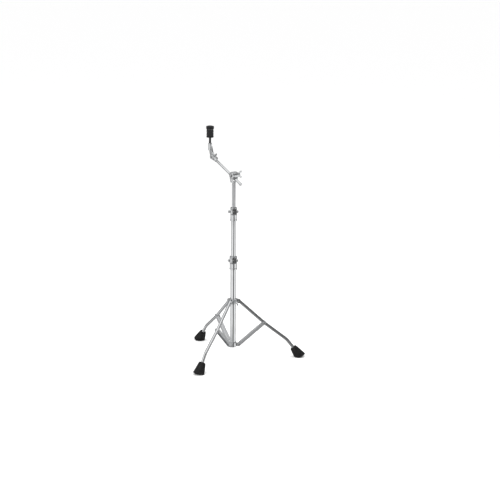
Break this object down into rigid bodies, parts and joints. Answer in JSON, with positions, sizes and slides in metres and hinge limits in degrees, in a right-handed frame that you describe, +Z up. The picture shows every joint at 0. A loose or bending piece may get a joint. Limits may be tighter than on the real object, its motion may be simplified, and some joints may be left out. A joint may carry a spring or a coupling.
{
  "type": "cymbal boom stand",
  "caption": "Folding tripod stand with telescoping tubes, a tilting boom rod and a cymbal tilter with felts and a quick-release cap.",
  "frame": {"origin": "middle of the footprint on the floor, under the centre of the bounding box", "axes": "+Z up along the column; +X along the leg at azimuth 0; the boom leans towards -X +Y"},
  "size_m": [0.5713, 0.6506, 1.1677],
  "materials": {
    "chrome": "bright nickel-chrome plate",
    "felt": "pressed black wool felt",
    "nylon": "moulded black nylon",
    "plastic": "moulded black plastic",
    "rubber": "matt black rubber",
    "satin": "satin plated steel",
    "steel": "plain zinc-plated steel",
    "zinc": "chromed zinc casting"
  },
  "bodies": {
    "base": {"base_tube": "chrome", "bottom_collar": "zinc", "lower_pin_1": "steel", "lower_pin_2": "steel", "lower_pin_3": "steel", "lower_clamp": "zinc", "lower_clamp_bolt": "steel"},
    "collar": {"tripod_collar": "zinc", "collar_insert": "nylon", "upper_pin_1": "steel", "upper_pin_2": "steel", "upper_pin_3": "steel"},
    "tripod_wing": {"tripod_wing_bolt": "zinc"},
    "lower_wing": {"lower_clamp_wing_nut": "zinc"},
    "middle_bush": {"lower_clamp_bush": "nylon"},
    "middle": {"middle_tube": "chrome", "middle_tube_guide": "nylon", "upper_clamp": "zinc", "upper_clamp_bolt": "steel"},
    "upper_wing": {"upper_clamp_wing_nut": "zinc"},
    "top_bush": {"upper_clamp_bush": "nylon"},
    "top": {"top_tube": "satin", "top_tube_guide": "nylon", "boom_fork": "zinc", "boom_tilt_bolt": "steel", "boom_washer": "steel"},
    "boom_wing": {"boom_wing_nut": "zinc"},
    "rotor": {"boom_rotor": "zinc"},
    "rod_bush": {"boom_rod_bush": "nylon"},
    "boom": {"boom_rod": "chrome", "boom_end_cap": "chrome", "cymbal_tilter_lower": "zinc", "cymbal_tilt_bolt": "steel", "cymbal_washer": "steel"},
    "cymbal_wing": {"cymbal_wing_nut": "zinc"},
    "stem": {"cymbal_tilter_upper": "zinc", "cymbal_rod": "chrome", "cymbal_sleeve": "plastic", "lower_felt": "felt"},
    "cap": {"upper_felt": "felt", "cup_washer": "steel", "cymbal_cap": "plastic"},
    "brace_1": {"brace_1": "satin", "knee_pin_1": "steel"},
    "leg_1": {"leg_1": "chrome", "foot_1": "rubber"},
    "brace_2": {"brace_2": "satin", "knee_pin_2": "steel"},
    "leg_2": {"leg_2": "chrome", "foot_2": "rubber"},
    "brace_3": {"brace_3": "satin", "knee_pin_3": "steel"},
    "leg_3": {"leg_3": "chrome", "foot_3": "rubber"}
  },
  "joints": [
    {"name": "tripod_fold", "type": "hinge", "parent": "base", "child": "brace_1", "pos_m": [-0.0541, 0, 0.065], "axis": [0, -1, 0], "range_deg": [-8, 44]},
    {"name": "leg_1_fold", "type": "hinge", "parent": "brace_1", "child": "leg_1", "pos_m": [0.0749, 0, 0.18], "axis": [0, -1, 0], "range_deg": [-88, 16]},
    {"name": "brace_2_fold", "type": "hinge", "parent": "base", "child": "brace_2", "pos_m": [-0.1006, 0.02685, 0.065], "axis": [0.866, 0.5, 0], "range_deg": [-8, 44]},
    {"name": "leg_2_fold", "type": "hinge", "parent": "brace_2", "child": "leg_2", "pos_m": [-0.1651, 0.13856, 0.18], "axis": [0.866, 0.5, 0], "range_deg": [-88, 16]},
    {"name": "brace_3_fold", "type": "hinge", "parent": "base", "child": "brace_3", "pos_m": [-0.1006, -0.02685, 0.065], "axis": [-0.866, 0.5, 0], "range_deg": [-8, 44]},
    {"name": "leg_3_fold", "type": "hinge", "parent": "brace_3", "child": "leg_3", "pos_m": [-0.1651, -0.13856, 0.18], "axis": [-0.866, 0.5, 0], "range_deg": [-88, 16]},
    {"name": "collar_fold", "type": "hinge", "parent": "leg_1", "child": "collar", "pos_m": [-0.0541, 0, 0.295], "axis": [0, -1, 0], "range_deg": [-8, 44]},
    {"name": "tripod_wing_turn", "type": "hinge", "parent": "collar", "child": "tripod_wing", "pos_m": [-0.0717, -0.02321, 0.295], "axis": [0.5, -0.866, 0], "range_deg": [0, 540]},
    {"name": "lower_wing_turn", "type": "hinge", "parent": "base", "child": "lower_wing", "pos_m": [-0.1024, -0.0225, 0.512], "axis": [-1, 0, 0], "range_deg": [0, 540]},
    {"name": "upper_wing_turn", "type": "hinge", "parent": "middle", "child": "upper_wing", "pos_m": [-0.1024, -0.02, 0.764], "axis": [-1, 0, 0], "range_deg": [0, 540]},
    {"name": "middle_swivel", "type": "hinge", "parent": "base", "child": "middle_bush", "pos_m": [-0.0851, 0, 0.496], "axis": [0, 0, 1], "continuous": true},
    {"name": "middle_slide", "type": "slide", "parent": "middle_bush", "child": "middle", "axis": [0, 0, 1], "range_m": [-0.175, 0.17]},
    {"name": "top_swivel", "type": "hinge", "parent": "middle", "child": "top_bush", "pos_m": [-0.0851, 0, 0.748], "axis": [0, 0, 1], "continuous": true},
    {"name": "top_slide", "type": "slide", "parent": "top_bush", "child": "top", "axis": [0, 0, 1], "range_m": [-0.115, 0.18]},
    {"name": "boom_tilt", "type": "hinge", "parent": "top", "child": "rotor", "pos_m": [-0.0851, 0, 0.94608], "axis": [0.8192, 0.5736, 0], "range_deg": [-60, 18]},
    {"name": "boom_roll", "type": "hinge", "parent": "rotor", "child": "rod_bush", "pos_m": [-0.08768, 0.00368, 0.93539], "axis": [-0.5288, 0.7551, 0.3875], "continuous": true},
    {"name": "boom_slide", "type": "slide", "parent": "rod_bush", "child": "boom", "axis": [-0.5288, 0.7551, 0.3875], "range_m": [-0.09, 0.03]},
    {"name": "boom_wing_turn", "type": "hinge", "parent": "top", "child": "boom_wing", "pos_m": [-0.06937, 0.01101, 0.94608], "axis": [0.8192, 0.5736, 0], "range_deg": [0, 540]},
    {"name": "cymbal_tilt", "type": "hinge", "parent": "boom", "child": "stem", "pos_m": [-0.19132, 0.15169, 1.01134], "axis": [0.8192, 0.5736, 0], "range_deg": [-60, 45]},
    {"name": "cymbal_wing_turn", "type": "hinge", "parent": "boom", "child": "cymbal_wing", "pos_m": [-0.18247, 0.15788, 1.01134], "axis": [0.8192, 0.5736, 0], "range_deg": [0, 540]},
    {"name": "cap_lift", "type": "slide", "parent": "stem", "child": "cap", "axis": [0, 0, 1], "range_m": [0, 0.06]}
  ],
  "couplings": [
    {"joint": "brace_2_fold", "follows": "tripod_fold", "ratio": 1},
    {"joint": "brace_3_fold", "follows": "tripod_fold", "ratio": 1},
    {"joint": "leg_1_fold", "follows": "tripod_fold", "ratio": -2},
    {"joint": "leg_2_fold", "follows": "tripod_fold", "ratio": -2},
    {"joint": "leg_3_fold", "follows": "tripod_fold", "ratio": -2},
    {"joint": "collar_fold", "follows": "tripod_fold", "ratio": 1}
  ]
}
